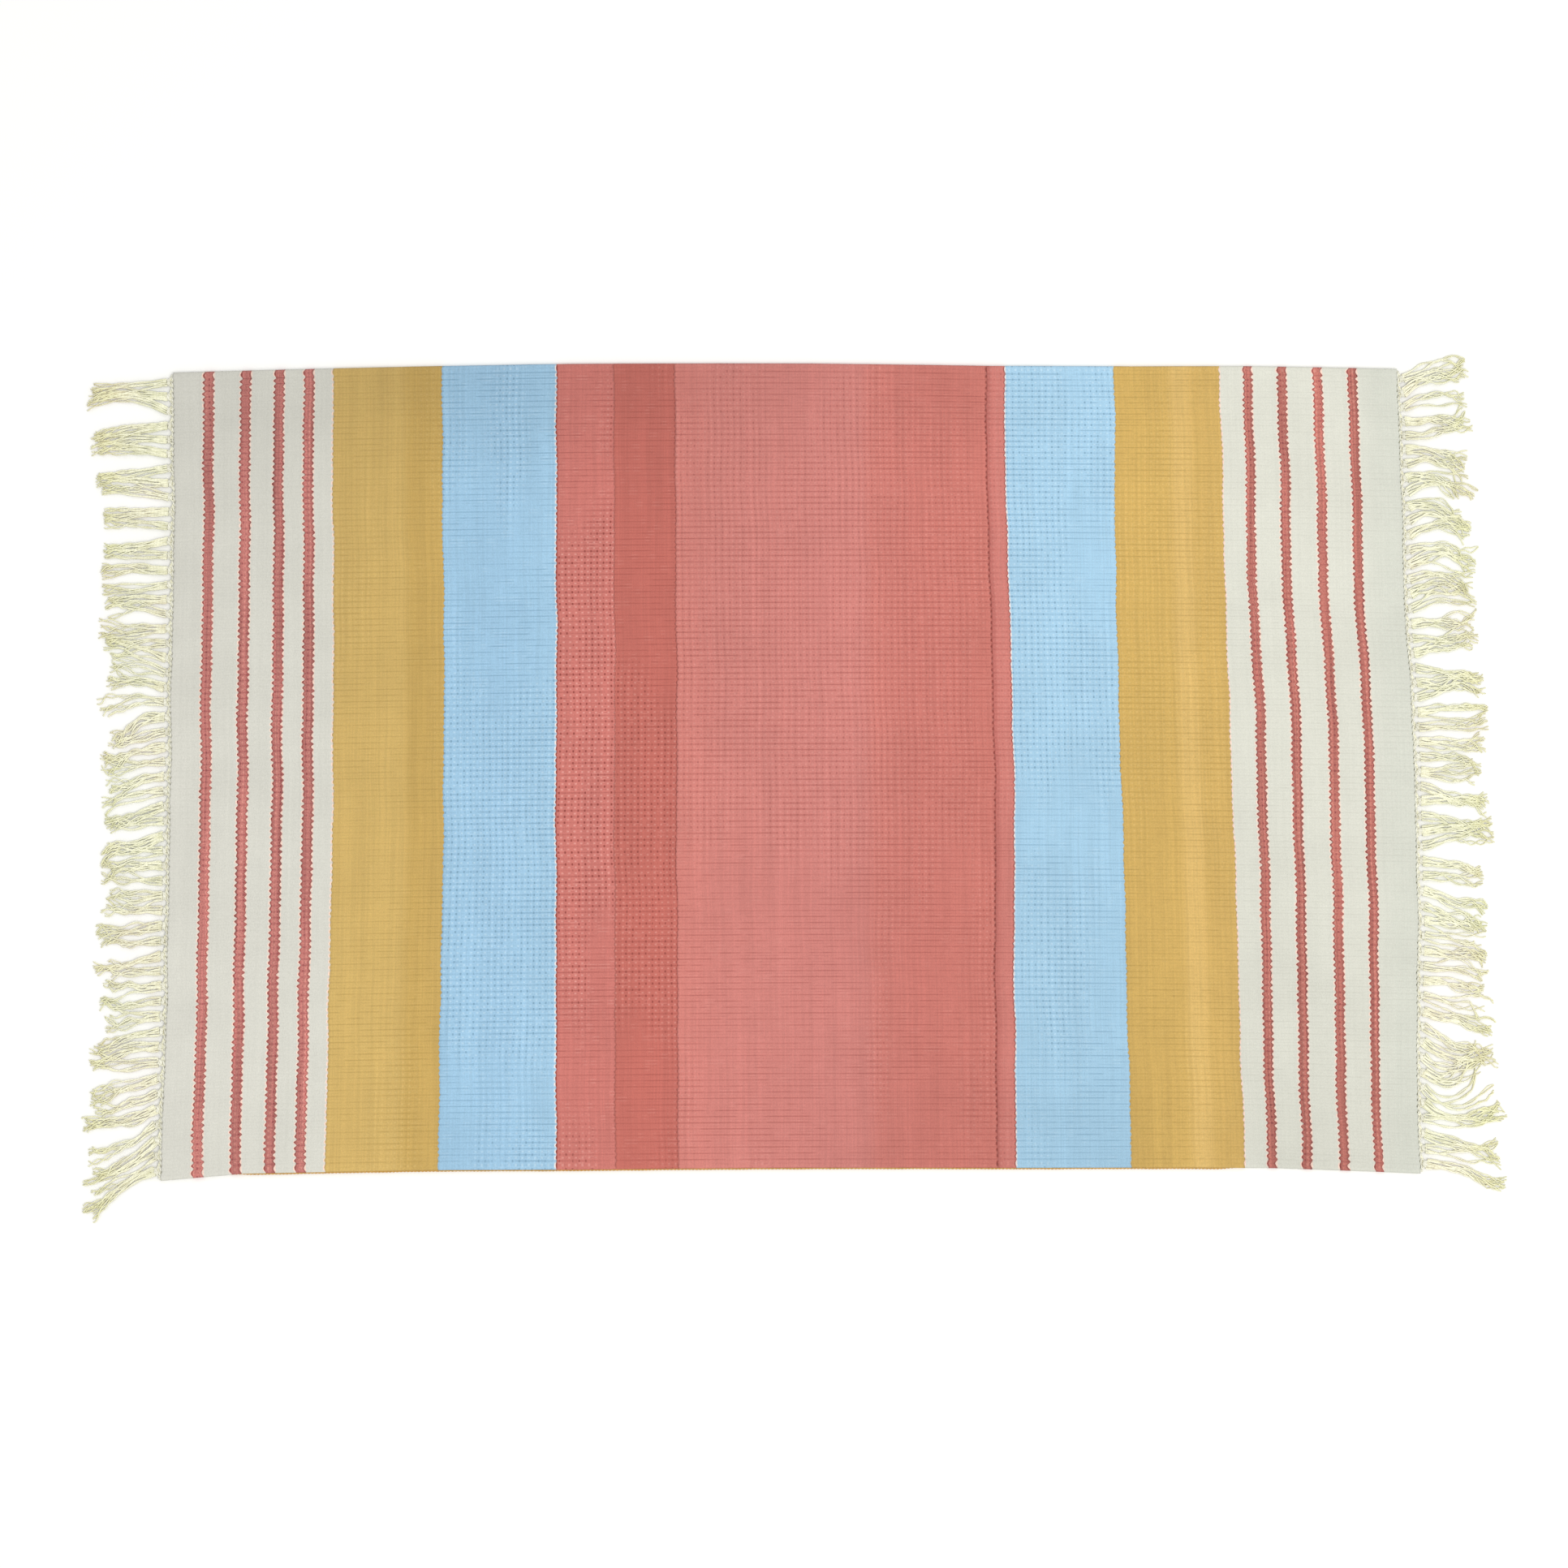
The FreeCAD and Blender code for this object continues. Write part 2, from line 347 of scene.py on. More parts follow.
def woven_weft(name, colour, shade, light, bead_light_shade, lot, stops, groove, tick_shade, crest_highlight, streak, slack):
    """Dyed cotton weft, hand-spun and beaten down on a hand loom: matt, ribbed and uneven.

    The eye gets ribs of one warp pair (4.4 mm) with painted shade in the grooves: dark lines
    between them, fainter lines between the two yarns of a pair, and short ticks in columns 4.8 mm
    apart where picks lie loosely. A painted highlight lies on the crests between the ticks and on
    pale single threads of some crests, and faint streaks run across the rug, one for each few picks
    (1.2 mm) of one yarn. shade is the painted shade's colour and light the painted highlight's.
    The beads where two wefts interlock take a painted colour: a pale highlight on some bands, a
    dark shade on others. The tone attribute adds painted light and shade over the band.
    colour is multiplied by stops, pairs of a place along the rug in mm and RGB factors. slack is
    where the picks lie most loosely: a middle and a half width across the rug, in mm.
    """
    made, tree = new_material(name)
    tick_pitch, pick_pitch = 4.8, 1.15
    weave = add(tree, "ShaderNodeAttribute", {"attribute_name": "weave"}, {})
    # The tone attribute holds painted light across the width and painted shade near the long edges.
    tone = add(tree, "ShaderNodeAttribute", {"attribute_name": "tone"}, {})
    split = add(tree, "ShaderNodeSeparateXYZ", {}, {0: weave.outputs["Vector"]})
    u, v, edge = split.outputs[0], split.outputs[1], split.outputs[2]
    turns = add(tree, "ShaderNodeMath", {"operation": "MULTIPLY_ADD"}, {
        0: v, 1: 1 / RIB_PITCH, 2: 0.5,
    })
    rib = add(tree, "ShaderNodeMath", {"operation": "ROUND"}, {0: turns.outputs[0]})
    off = add(tree, "ShaderNodeMath", {"operation": "PINGPONG"}, {0: turns.outputs[0], 1: 0.5})

    def noise(along, across, seed, detail=1.0, per_rib=False):
        """Cloud noise with features of along by across mm, or of along mm on each rib by itself."""
        if per_rib:
            # 7.31 features of the noise lie between two ribs, so they have nothing in common.
            row = add(tree, "ShaderNodeMath", {"operation": "MULTIPLY"}, {
                0: rib.outputs[0], 1: 7.31,
            })
        else:
            row = add(tree, "ShaderNodeMath", {"operation": "DIVIDE"}, {0: v, 1: across})
        column = add(tree, "ShaderNodeMath", {"operation": "DIVIDE"}, {0: u, 1: along})
        place = add(tree, "ShaderNodeCombineXYZ", {}, {
            0: column.outputs[0], 1: row.outputs[0], 2: lot * 3.7 + seed * 11.3,
        })
        return add(tree, "ShaderNodeTexNoise", {}, {
            "Vector": place.outputs[0], "Scale": 1.0, "Detail": detail, "Roughness": 0.55,
        }).outputs[0]

    def between(value, low, high, to_low=0.0, to_high=1.0):
        """A soft step of value from low to high, onto to_low..to_high."""
        return add(tree, "ShaderNodeMapRange", {"interpolation_type": "SMOOTHSTEP"}, {
            0: value, 1: low, 2: high, 3: to_low, 4: to_high,
        }).outputs[0]

    def times(*values):
        """The product of the values."""
        product = values[0]
        for value in values[1:]:
            product = add(
                tree, "ShaderNodeMath", {"operation": "MULTIPLY"}, {0: product, 1: value}
            ).outputs[0]
        return product

    # Painted shade in the grooves: dark lines between the pairs, broken here and there, and
    # fainter ones within a pair.
    patch = between(noise(75, 60, 1), 0.34, 0.62, 0.5, 1.0)
    dash = between(noise(16, 1, 2, 2.0, True), 0.34, 0.56, 0.1, 1.0)
    main_groove_shade = times(between(off.outputs[0], 0.15, 0.03), dash, patch, groove)
    second_dash = between(noise(14, 1, 3, 1.0, True), 0.46, 0.62)
    second_groove_shade = times(between(off.outputs[0], 0.40, 0.48), second_dash, patch, groove * 0.5)
    # Painted shade in ticks that stand in line across the rug, where a few picks lie loosely:
    # columns that wander by up to 5 mm, with some ticks missing.
    stray = add(tree, "ShaderNodeMath", {"operation": "MULTIPLY_ADD"}, {
        0: noise(60, 150, 4, 1.0), 1: 5.0, 2: u,
    })
    step = add(tree, "ShaderNodeMath", {"operation": "DIVIDE"}, {
        0: stray.outputs[0], 1: tick_pitch,
    })
    from_column = add(tree, "ShaderNodeMath", {"operation": "PINGPONG"}, {
        0: step.outputs[0], 1: 0.5,
    })
    column = between(from_column.outputs[0], 0.20, 0.06)
    from_slack = add(tree, "ShaderNodeMath", {"operation": "SUBTRACT"}, {0: v, 1: slack[0]})
    from_slack = add(tree, "ShaderNodeMath", {"operation": "ABSOLUTE"}, {0: from_slack.outputs[0]})
    slackened = between(from_slack.outputs[0], slack[1] + 60, slack[1] - 30, -0.05, 0.17)
    loosened = add(tree, "ShaderNodeMath", {"operation": "ADD"}, {
        0: noise(40, 190, 5), 1: slackened,
    })
    loose = between(loosened.outputs[0], 0.42, 0.62)
    there = between(noise(5, 1, 14, 0.0, True), 0.36, 0.50, 0.1, 1.0)
    shaded_ticks = times(between(off.outputs[0], 0.24, 0.13), column, loose, there, tick_shade)
    # Where the painted shade of the grooves and ticks lies.
    dark = add(tree, "ShaderNodeMath", {"operation": "MAXIMUM"}, {0: main_groove_shade, 1: shaded_ticks})
    dark = add(tree, "ShaderNodeMath", {"operation": "MAXIMUM"}, {
        0: dark.outputs[0], 1: second_groove_shade,
    })
    # Painted highlight: between the ticks the crests stand up pale, and here and there a single
    # thread does.
    crest_highlight_mask = times(between(off.outputs[0], 0.28, 0.43), between(from_column.outputs[0], 0.26, 0.42),
                   loose, crest_highlight)
    thread_highlight = times(
        between(off.outputs[0], 0.16, 0.24), between(off.outputs[0], 0.40, 0.30),
        between(noise(9, 1, 6, 1.0, True), 0.58, 0.68), crest_highlight, 0.4,
    )
    painted_highlight = add(tree, "ShaderNodeMath", {"operation": "MAXIMUM"}, {0: crest_highlight_mask, 1: thread_highlight}).outputs[0]
    # Streaks across the rug: single picks, then lengths of one yarn.
    fine = between(noise(1.3, 140, 7, 1.0), 0.3, 0.7, 1 - 1.2 * streak, 1 + 1.2 * streak)
    wide = between(noise(11, 300, 8, 2.0), 0.2, 0.8, 1 - streak, 1 + streak)
    cloud = between(noise(60, 45, 9, 2.0), 0.2, 0.8, 0.965, 1.035)
    fibre = between(noise(0.8, 0.8, 10, 1.0), 0.25, 0.75, 0.97 - streak, 1.03 + streak)
    # The tone adds painted light and painted shade to the streaks.
    level = times(tone.outputs["Fac"], fine, wide, cloud, fibre)

    # The ramp runs over the whole rug and 5 mm more at each end.
    reach = 460.0
    place = add(tree, "ShaderNodeMapRange", {}, {0: u, 1: -reach, 2: reach})
    ramp = add(tree, "ShaderNodeValToRGB", {}, {0: place.outputs[0]})
    elements = ramp.color_ramp.elements
    while len(elements) < len(stops):
        elements.new(1.0)
    for element, (where, factors) in zip(elements, stops):
        element.position = (where + reach) / (2 * reach)
        element.color = [c * f for c, f in zip(colour, factors)] + [1]
    shaded = add(tree, "ShaderNodeMix", {"data_type": "RGBA"}, {
        0: dark.outputs[0], 6: ramp.outputs[0], 7: (*shade, 1),
    })
    lit = add(tree, "ShaderNodeMix", {"data_type": "RGBA"}, {
        0: painted_highlight, 6: shaded.outputs[2], 7: (*light, 1),
    })
    # Where two wefts interlock, one bead shows for each warp pair, in a painted colour: a pale
    # highlight on some bands, a dark shade on others.
    bead = between(off.outputs[0], 0.08, 0.34, 0.2, 1.0)
    bead_chance = between(noise(1.0, 5.0, 12, 1.0), 0.32, 0.5, 0.45, 1.0)
    beads_painted = add(tree, "ShaderNodeMix", {"data_type": "RGBA"}, {
        0: times(between(edge, 0.03, 0.3), bead, bead_chance), 6: lit.outputs[2], 7: (*bead_light_shade, 1),
    })
    evened = add(tree, "ShaderNodeVectorMath", {"operation": "SCALE"}, {
        0: beads_painted.outputs[2], "Scale": level,
    })
    # Picks of 1.15 mm, half a step apart on neighbouring ribs, and loose fibres.
    shift = add(tree, "ShaderNodeMath", {"operation": "MULTIPLY"}, {0: rib.outputs[0], 1: math.pi})
    pick = add(tree, "ShaderNodeMath", {"operation": "MULTIPLY_ADD"}, {
        0: u, 1: 2 * math.pi / pick_pitch, 2: shift.outputs[0],
    })
    wave = add(tree, "ShaderNodeMath", {"operation": "SINE"}, {0: pick.outputs[0]})
    height = add(tree, "ShaderNodeMath", {"operation": "MULTIPLY_ADD"}, {
        0: wave.outputs[0], 1: 0.5, 2: noise(0.7, 0.7, 11, 2.0),
    })
    deeper = add(tree, "ShaderNodeMath", {"operation": "SUBTRACT"}, {
        0: height.outputs[0], 1: dark.outputs[0],
    })
    bump = add(tree, "ShaderNodeBump", {}, {
        "Strength": 0.55, "Distance": 0.00022, "Height": deeper.outputs[0],
    })
    rough = between(noise(3, 3, 13, 1.0), 0.2, 0.8, 0.84, 0.96)
    shader = add(tree, "ShaderNodeBsdfPrincipled", {}, {
        "Base Color": evened.outputs[0], "Roughness": rough, "Normal": bump.outputs[0],
        "Specular IOR Level": 0.25, "Sheen Weight": 0.12, "Sheen Roughness": 0.6,
    })
    add(tree, "ShaderNodeOutputMaterial", {}, {0: shader.outputs[0]})
    return made


def twisted_yarn(name, colour, crease_shade, twist, deep=0.35, random_shade=0.3, tip=None, flank_shade=0.0,
                 second_shade=None):
    """Undyed or dyed cotton yarn, ring-spun and plied: matt, with a fine slanting twist.

    The twist's pitch is in mm, and deep is how much of the crease colour, a painted shade, its
    grooves show. Each yarn is a little lighter or darker than the next, and in clouds of some 7 mm
    it takes up to the random shade share of the same painted shade. Its flanks and underside, away
    from the light, take up to the flank share of the painted shade, which goes over to a second
    painted shade colour in patches some 60 mm wide. From 26 to 50 mm along it the colour goes over
    to three quarters of the tip's, if there is one.
    """
    made, tree = new_material(name)
    yarn = add(tree, "ShaderNodeAttribute", {"attribute_name": "yarn"}, {})
    tone = add(tree, "ShaderNodeAttribute", {"attribute_name": "tone"}, {})
    split = add(tree, "ShaderNodeSeparateXYZ", {}, {0: yarn.outputs["Vector"]})
    angle = add(tree, "ShaderNodeMath", {"operation": "MULTIPLY"}, {
        0: split.outputs[0], 1: 2 * math.pi / twist,
    })
    sine = add(tree, "ShaderNodeMath", {"operation": "SINE"}, {0: angle.outputs[0]})
    cosine = add(tree, "ShaderNodeMath", {"operation": "COSINE"}, {0: angle.outputs[0]})
    first = add(tree, "ShaderNodeMath", {"operation": "MULTIPLY"}, {
        0: sine.outputs[0], 1: split.outputs[1],
    })
    slant = add(tree, "ShaderNodeMath", {"operation": "MULTIPLY_ADD"}, {
        0: cosine.outputs[0], 1: split.outputs[2], 2: first.outputs[0],
    })
    # Painted shade in the grooves of the twist.
    groove = add(tree, "ShaderNodeMapRange", {"interpolation_type": "SMOOTHSTEP"}, {
        0: slant.outputs[0], 1: -0.2, 2: -0.9,
    })
    where = add(tree, "ShaderNodeTexCoord", {}, {})
    cloud = add(tree, "ShaderNodeTexNoise", {}, {
        "Vector": where.outputs["Object"], "Scale": 140.0, "Detail": 3.0,
    })
    # Painted shade on a random share of the yarns, in clouds.
    spread = add(tree, "ShaderNodeMath", {"operation": "MULTIPLY_ADD"}, {
        0: tone.outputs["Fac"], 1: 0.5, 2: cloud.outputs[0],
    })
    random_shade_share = add(tree, "ShaderNodeMapRange", {}, {
        0: spread.outputs[0], 1: 0.62, 2: 1.05, 4: random_shade,
    })
    share = add(tree, "ShaderNodeMath", {"operation": "MULTIPLY_ADD"}, {
        0: groove.outputs[0], 1: deep, 2: random_shade_share.outputs[0],
    })
    # Painted shade on the flanks and underside of each yarn, away from the light.
    flank_shade_share = add(tree, "ShaderNodeMapRange", {"interpolation_type": "SMOOTHSTEP"}, {
        0: split.outputs[2], 1: 0.62, 2: 0.1, 4: flank_shade,
    })
    share = add(tree, "ShaderNodeMath", {"operation": "MAXIMUM"}, {
        0: share.outputs[0], 1: flank_shade_share.outputs[0],
    })
    base = add(tree, "ShaderNodeMapRange", {"interpolation_type": "SMOOTHSTEP"}, {
        0: split.outputs[0], 1: 26.0, 2: 50.0, 4: 0.75,
    })
    aged = add(tree, "ShaderNodeMix", {"data_type": "RGBA"}, {
        0: base.outputs[0] if tip else 0.0, 6: (*colour, 1), 7: (*(tip or colour), 1),
    })
    # The painted shade turns from its first colour to the second in patches.
    patch = add(tree, "ShaderNodeTexNoise", {}, {"Vector": where.outputs["Object"], "Scale": 16.0})
    patched = add(tree, "ShaderNodeMapRange", {}, {0: patch.outputs[0], 1: 0.4, 2: 0.6})
    painted_shade_colour = add(tree, "ShaderNodeMix", {"data_type": "RGBA"}, {
        0: patched.outputs[0], 6: (*crease_shade, 1), 7: (*(second_shade or crease_shade), 1),
    })
    mixed = add(tree, "ShaderNodeMix", {"data_type": "RGBA"}, {
        0: share.outputs[0], 6: aged.outputs[2], 7: painted_shade_colour.outputs[2],
    })
    bump = add(tree, "ShaderNodeBump", {}, {
        "Strength": 0.6, "Distance": 0.00015, "Height": slant.outputs[0],
    })
    rough = add(tree, "ShaderNodeMapRange", {}, {0: cloud.outputs[0], 3: 0.82, 4: 0.95})
    shader = add(tree, "ShaderNodeBsdfPrincipled", {}, {
        "Base Color": mixed.outputs[2], "Roughness": rough.outputs[0],
        "Normal": bump.outputs[0], "Specular IOR Level": 0.25, "Sheen Weight": 0.15,
        "Sheen Roughness": 0.6,
    })
    add(tree, "ShaderNodeOutputMaterial", {}, {0: shader.outputs[0]})
    return made


def painted_floor(name):
    """Matt white studio floor paint: even, with a trace of a roller's texture, 17 mm wide."""
    made, tree = new_material(name)
    where = add(tree, "ShaderNodeTexCoord", {}, {})
    roller = add(tree, "ShaderNodeTexNoise", {}, {"Vector": where.outputs["Object"], "Scale": 60.0})
    bump = add(tree, "ShaderNodeBump", {}, {
        "Strength": 0.02, "Distance": 0.0002, "Height": roller.outputs[0],
    })
    shader = add(tree, "ShaderNodeBsdfPrincipled", {}, {
        "Base Color": (*linear("#fdfdfb"), 1), "Roughness": 0.95, "Normal": bump.outputs[0],
        "Specular IOR Level": 0.1,
    })
    add(tree, "ShaderNodeOutputMaterial", {}, {0: shader.outputs[0]})
    return made


# ---- yarns that the weft hides or holds ------------------------------------------------------

def knot_rows():
    """Across the rug: each knot's middle, and each warp yarn's place, knot and slot in its knot.

    A knot takes three pairs and two pairs by turns. Slots run evenly between -1 and 1.
    """
    number = np.arange(TASSEL_COUNT)
    knots = (number - (TASSEL_COUNT - 1) / 2) * 2 * HALF_WIDTH / TASSEL_COUNT
    owner = np.repeat(number, np.where(number % 2, 4, 6))
    pairs = (np.arange(len(owner) // 2) - (len(owner) // 2 - 1) / 2) * RIB_PITCH
    v = np.repeat(pairs, 2) + np.tile([-1.05, 1.05], len(pairs))
    rank = np.arange(len(owner)) - np.searchsorted(owner, number)[owner]
    return knots, v, owner, (2 * rank + 1) / np.bincount(owner)[owner] - 1


class RUG_OT_warp_yarns(bpy.types.Operator):
    """Make the warp yarns, two side by side in each rib, panel by panel from fold to fold"""
    bl_idname = "rug.warp_yarns"
    bl_label = "Warp yarns"

    def execute(self, context):
        cloth, dyes = context.scene.rug_cloth, context.scene.rug_dyes
        # The second colour is the painted shade of the twist's grooves.
        cotton = twisted_yarn("cotton_warp_plied", dyes.warp, linear("#cabf9c"), 2.6)
        knots, v, owner, slot = knot_rows()
        for node in [n for n in frame["nodes"] if n.endswith("_warp_yarns")]:
            low, high = (corner.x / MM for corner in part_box(node))
            inner_low, inner_high = max(low, -HALF_LENGTH), min(high, HALF_LENGTH)
            rings = np.linspace(inner_low, inner_high, math.ceil((high - low) / 30) + 1)
            if BODY_OF[node] in FOLD_OF:
                # Rings stand close together wherever the fold may bend the leaning yarns.
                reach = bend_of(BODY_OF[node]) + STRAYING
                further = np.linspace(reach, inner_high - inner_low, 4)[1:]
                past = np.concatenate([np.linspace(0, reach, 14), further])
                rings = inner_low + past if low > 0 else inner_high - past[::-1]
            u = np.broadcast_to(rings, (len(v), len(rings)))
            across = np.broadcast_to(v[:, None], u.shape)
            # Past the last weft the yarns run straight through the twine, then gather in a knot.
            out = np.tile([HALF_LENGTH + 1.3, KNOT_PLACE - 0.6], (len(v), 1))
            gathered = np.stack([v, knots[owner] + 2.9 * slot], -1)
            if low < -HALF_LENGTH:
                u = np.concatenate([-out[:, ::-1], u], axis=1)
                across = np.concatenate([gathered[:, ::-1], across], axis=1)
            if high > HALF_LENGTH:
                u = np.concatenate([u, out], axis=1)
                across = np.concatenate([across, gathered], axis=1)
            paths = laid(cloth, u, across, THICKNESS / 2)
            made = yarns(node + "_cotton", paths, 0.5 * MM, cotton)
            attach(made, node)
        return {"FINISHED"}


def plied(centre, radius, pitch, plies, start=0.0, rise=1.0):
    """Paths of plies twisted round centre lines (yarn, ring, 3), in metres.

    Ply k is at the centre + radius * (0, cos w, rise * sin w), where w grows by a full turn for
    each pitch of length and the plies are evenly spaced round it.
    """
    step = np.linalg.norm(np.diff(centre, axis=1), axis=2)
    length = np.concatenate([np.zeros((len(centre), 1)), np.cumsum(step, axis=1)], axis=1)
    turn = 2 * np.pi * (length / pitch + start)
    made = []
    for k in range(plies):
        w = (turn + 2 * np.pi * k / plies)[..., None]
        round_it = np.cos(w) * [0, 1, 0] + np.sin(w) * [0, 0, rise]
        made.append(centre + np.asarray(radius)[..., None] * round_it)
    return np.concatenate(made)


class RUG_OT_edge_cords(bpy.types.Operator):
    """Make the two-ply cords that the weft turns round at the long edges"""
    bl_idname = "rug.edge_cords"
    bl_label = "Edge cords"

    def execute(self, context):
        cloth, dyes = context.scene.rug_cloth, context.scene.rug_dyes
        # The second colour is the painted shade of the twist's grooves.
        ochre = twisted_yarn("cotton_edge_cord_two_ply", dyes.ochre, linear("#a5803c"), 5.0)
        for node in [n for n in frame["nodes"] if "_edge_cord_" in n]:
            low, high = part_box(node)
            side = 1 if node.endswith("back") else -1
            # Rings 0.8 mm apart show the plies, which take a turn every 5.2 mm.
            u = np.linspace(low.x, high.x, math.ceil((high.x - low.x) / MM / 0.8) + 1)[None] / MM
            # The weft hides the cord from above. It looks out below the weft's turns at the front
            # edge, except near the ends.
            out = 1.35 * smooth((415 + u) / 25) * smooth((325 - u) / 25) if side < 0 else 0.0
            v = side * (HALF_WIDTH + out) + 0.12 * wander(u, [37, 23, 61], 21)
            centre = laid(cloth, u, v, 1.35)
            paths = plied(centre, 0.62 * MM, 5.2 * MM, 2)
            made = yarns(node + "_ply", paths, 0.66 * MM, ochre, sides=6)
            attach(made, node)
        return {"FINISHED"}


class RUG_OT_headings(bpy.types.Operator):
    """Make the two strands at each end that cross between the warp pairs and hold the last weft"""
    bl_idname = "rug.headings"
    bl_label = "Twined headings"

    def execute(self, context):
        cloth, dyes = context.scene.rug_cloth, context.scene.rug_dyes
        # Its crossings, one for each warp pair, are dark dots in a pale line: painted shade, from
        # the dark crease colour in the grooves of a twist 4.4 mm long.
        cotton = twisted_yarn("cotton_heading_twine", dyes.knot, linear("#8b8775"), 4.4, 0.4)
        v = np.linspace(-HALF_WIDTH, HALF_WIDTH, WARP_PAIRS * 5 + 1)[None]
        # A strand is over one warp pair and under the next: a turn takes two pairs.
        turn = 2 * np.pi * v / (2 * RIB_PITCH)
        for name, end in (("left", -1), ("right", 1)):
            for strand, sign in (("upper", 1), ("lower", -1)):
                u = end * (HALF_LENGTH + 0.75 + sign * 0.42 * np.sin(turn))
                path = laid(cloth, u, v, THICKNESS / 2 + sign * 1.15 * np.cos(turn))
                node = f"{name}_heading_twine_{strand}"
                made = yarns(node + "_strand", path, 0.68 * MM, cotton, sides=6)
                attach(made, node)
        return {"FINISHED"}


class RUG_OT_knots(bpy.types.Operator):
    """Make the overhand knots, each with the yarns of two or three warp pairs drawn into it"""
    bl_idname = "rug.knots"
    bl_label = "Knots"

    def execute(self, context):
        cloth, dyes = context.scene.rug_cloth, context.scene.rug_dyes
        # The second colour is the painted shade of the twist's grooves.
        cotton = twisted_yarn("cotton_knot", dyes.knot, linear("#bfbba2"), 2.4)
        knots, _, owner, slot = knot_rows()
        for name, end in (("left", -1), ("right", 1)):
            chance = np.random.default_rng(31 + end)
            share = np.linspace(0, 1, 22)[None]
            turn = 2 * np.pi * (2.3 * share + chance.uniform(0, 1, (len(knots), 1)))
            size = chance.uniform(0.85, 1.1, (len(knots), 1))
            # A flat coil of 2.3 turns that swells in its middle and leans a little.
            swell = size * (0.8 + 0.35 * np.sin(np.pi * share))
            lean = chance.uniform(-0.5, 0.5, (len(knots), 1))
            u = end * (KNOT_PLACE + 2.4 * (share - 0.5) + lean * np.cos(turn) * 0.8)
            u = u + chance.uniform(-0.4, 0.4, (len(knots), 1))
            v = knots[:, None] + 2.2 * swell * np.cos(turn)
            z = KNOT_HEIGHT + 1.05 * swell * np.sin(turn)
            coil = laid(cloth, u, v, np.maximum(z, 0.72))
            # The yarns fan in from the cloth's whole width, and pass the coil side by side.
            into = slot[:, None] * (4.6 - 2.2 * smooth(share / 0.6))
            into = into + 0.2 * np.sin(2 * np.pi * (share + chance.uniform(0, 1, (len(slot), 1))))
            height = KNOT_HEIGHT - 0.35 + 0.3 * np.sin(7.0 * slot[:, None] + 4 * share)
            outwards = end * (HALF_LENGTH + 0.5 + 5.5 * share)
            fan = laid(cloth, outwards, knots[owner][:, None] + into, height)
            paths = np.concatenate([coil, fan])
            radii = np.concatenate([np.full(coil.shape[:2], 0.62), np.full(fan.shape[:2], 0.66)])
            node = f"{name}_fringe_knots"
            made = yarns(
                node + "_tied", paths, radii * MM, cotton, sides=6, reference=(1, 0.02, 0.03)
            )
            attach(made, node)
        return {"FINISHED"}


# ---- tassels ---------------------------------------------------------------------------------

# How the tassels were combed by use, end by end: a place across the rug in mm, then the direction
# in which a tassel leaves its knot there and that of its tip, in degrees from straight out.
COMBING = {
    -1: [(-297, -22, -36), (-275, -38, -27), (-255, -38, -12), (-238, -18, -6), (-220, -3, 0),
         (-202, -3, -18), (-175, -5, -3), (-95, 0, -2), (-76, -5, -20), (-46, -5, -4),
         (-19, -10, -26), (0, -5, -5), (24, -10, -20), (42, 5, -40), (60, 18, 4), (100, 2, 0),
         (260, 3, -3), (271, 12, -18), (283, -3, -2), (297, 0, 0)],
    1: [(-297, -30, -40), (-285, -12, -12), (-264, -8, -5), (-251, -42, 22), (-227, -52, 35),
        (-195, -35, -5), (-178, -8, -15), (-145, 0, 0), (-103, -15, -12), (-73, -3, -8),
        (11, 0, 0), (26, 12, 10), (108, 2, 0), (120, 33, -14), (156, 30, -27), (190, 32, -37),
        (230, 20, -35), (246, 2, 22), (262, 0, 0), (276, 30, -25), (286, 10, 8), (297, 45, 15)],
}


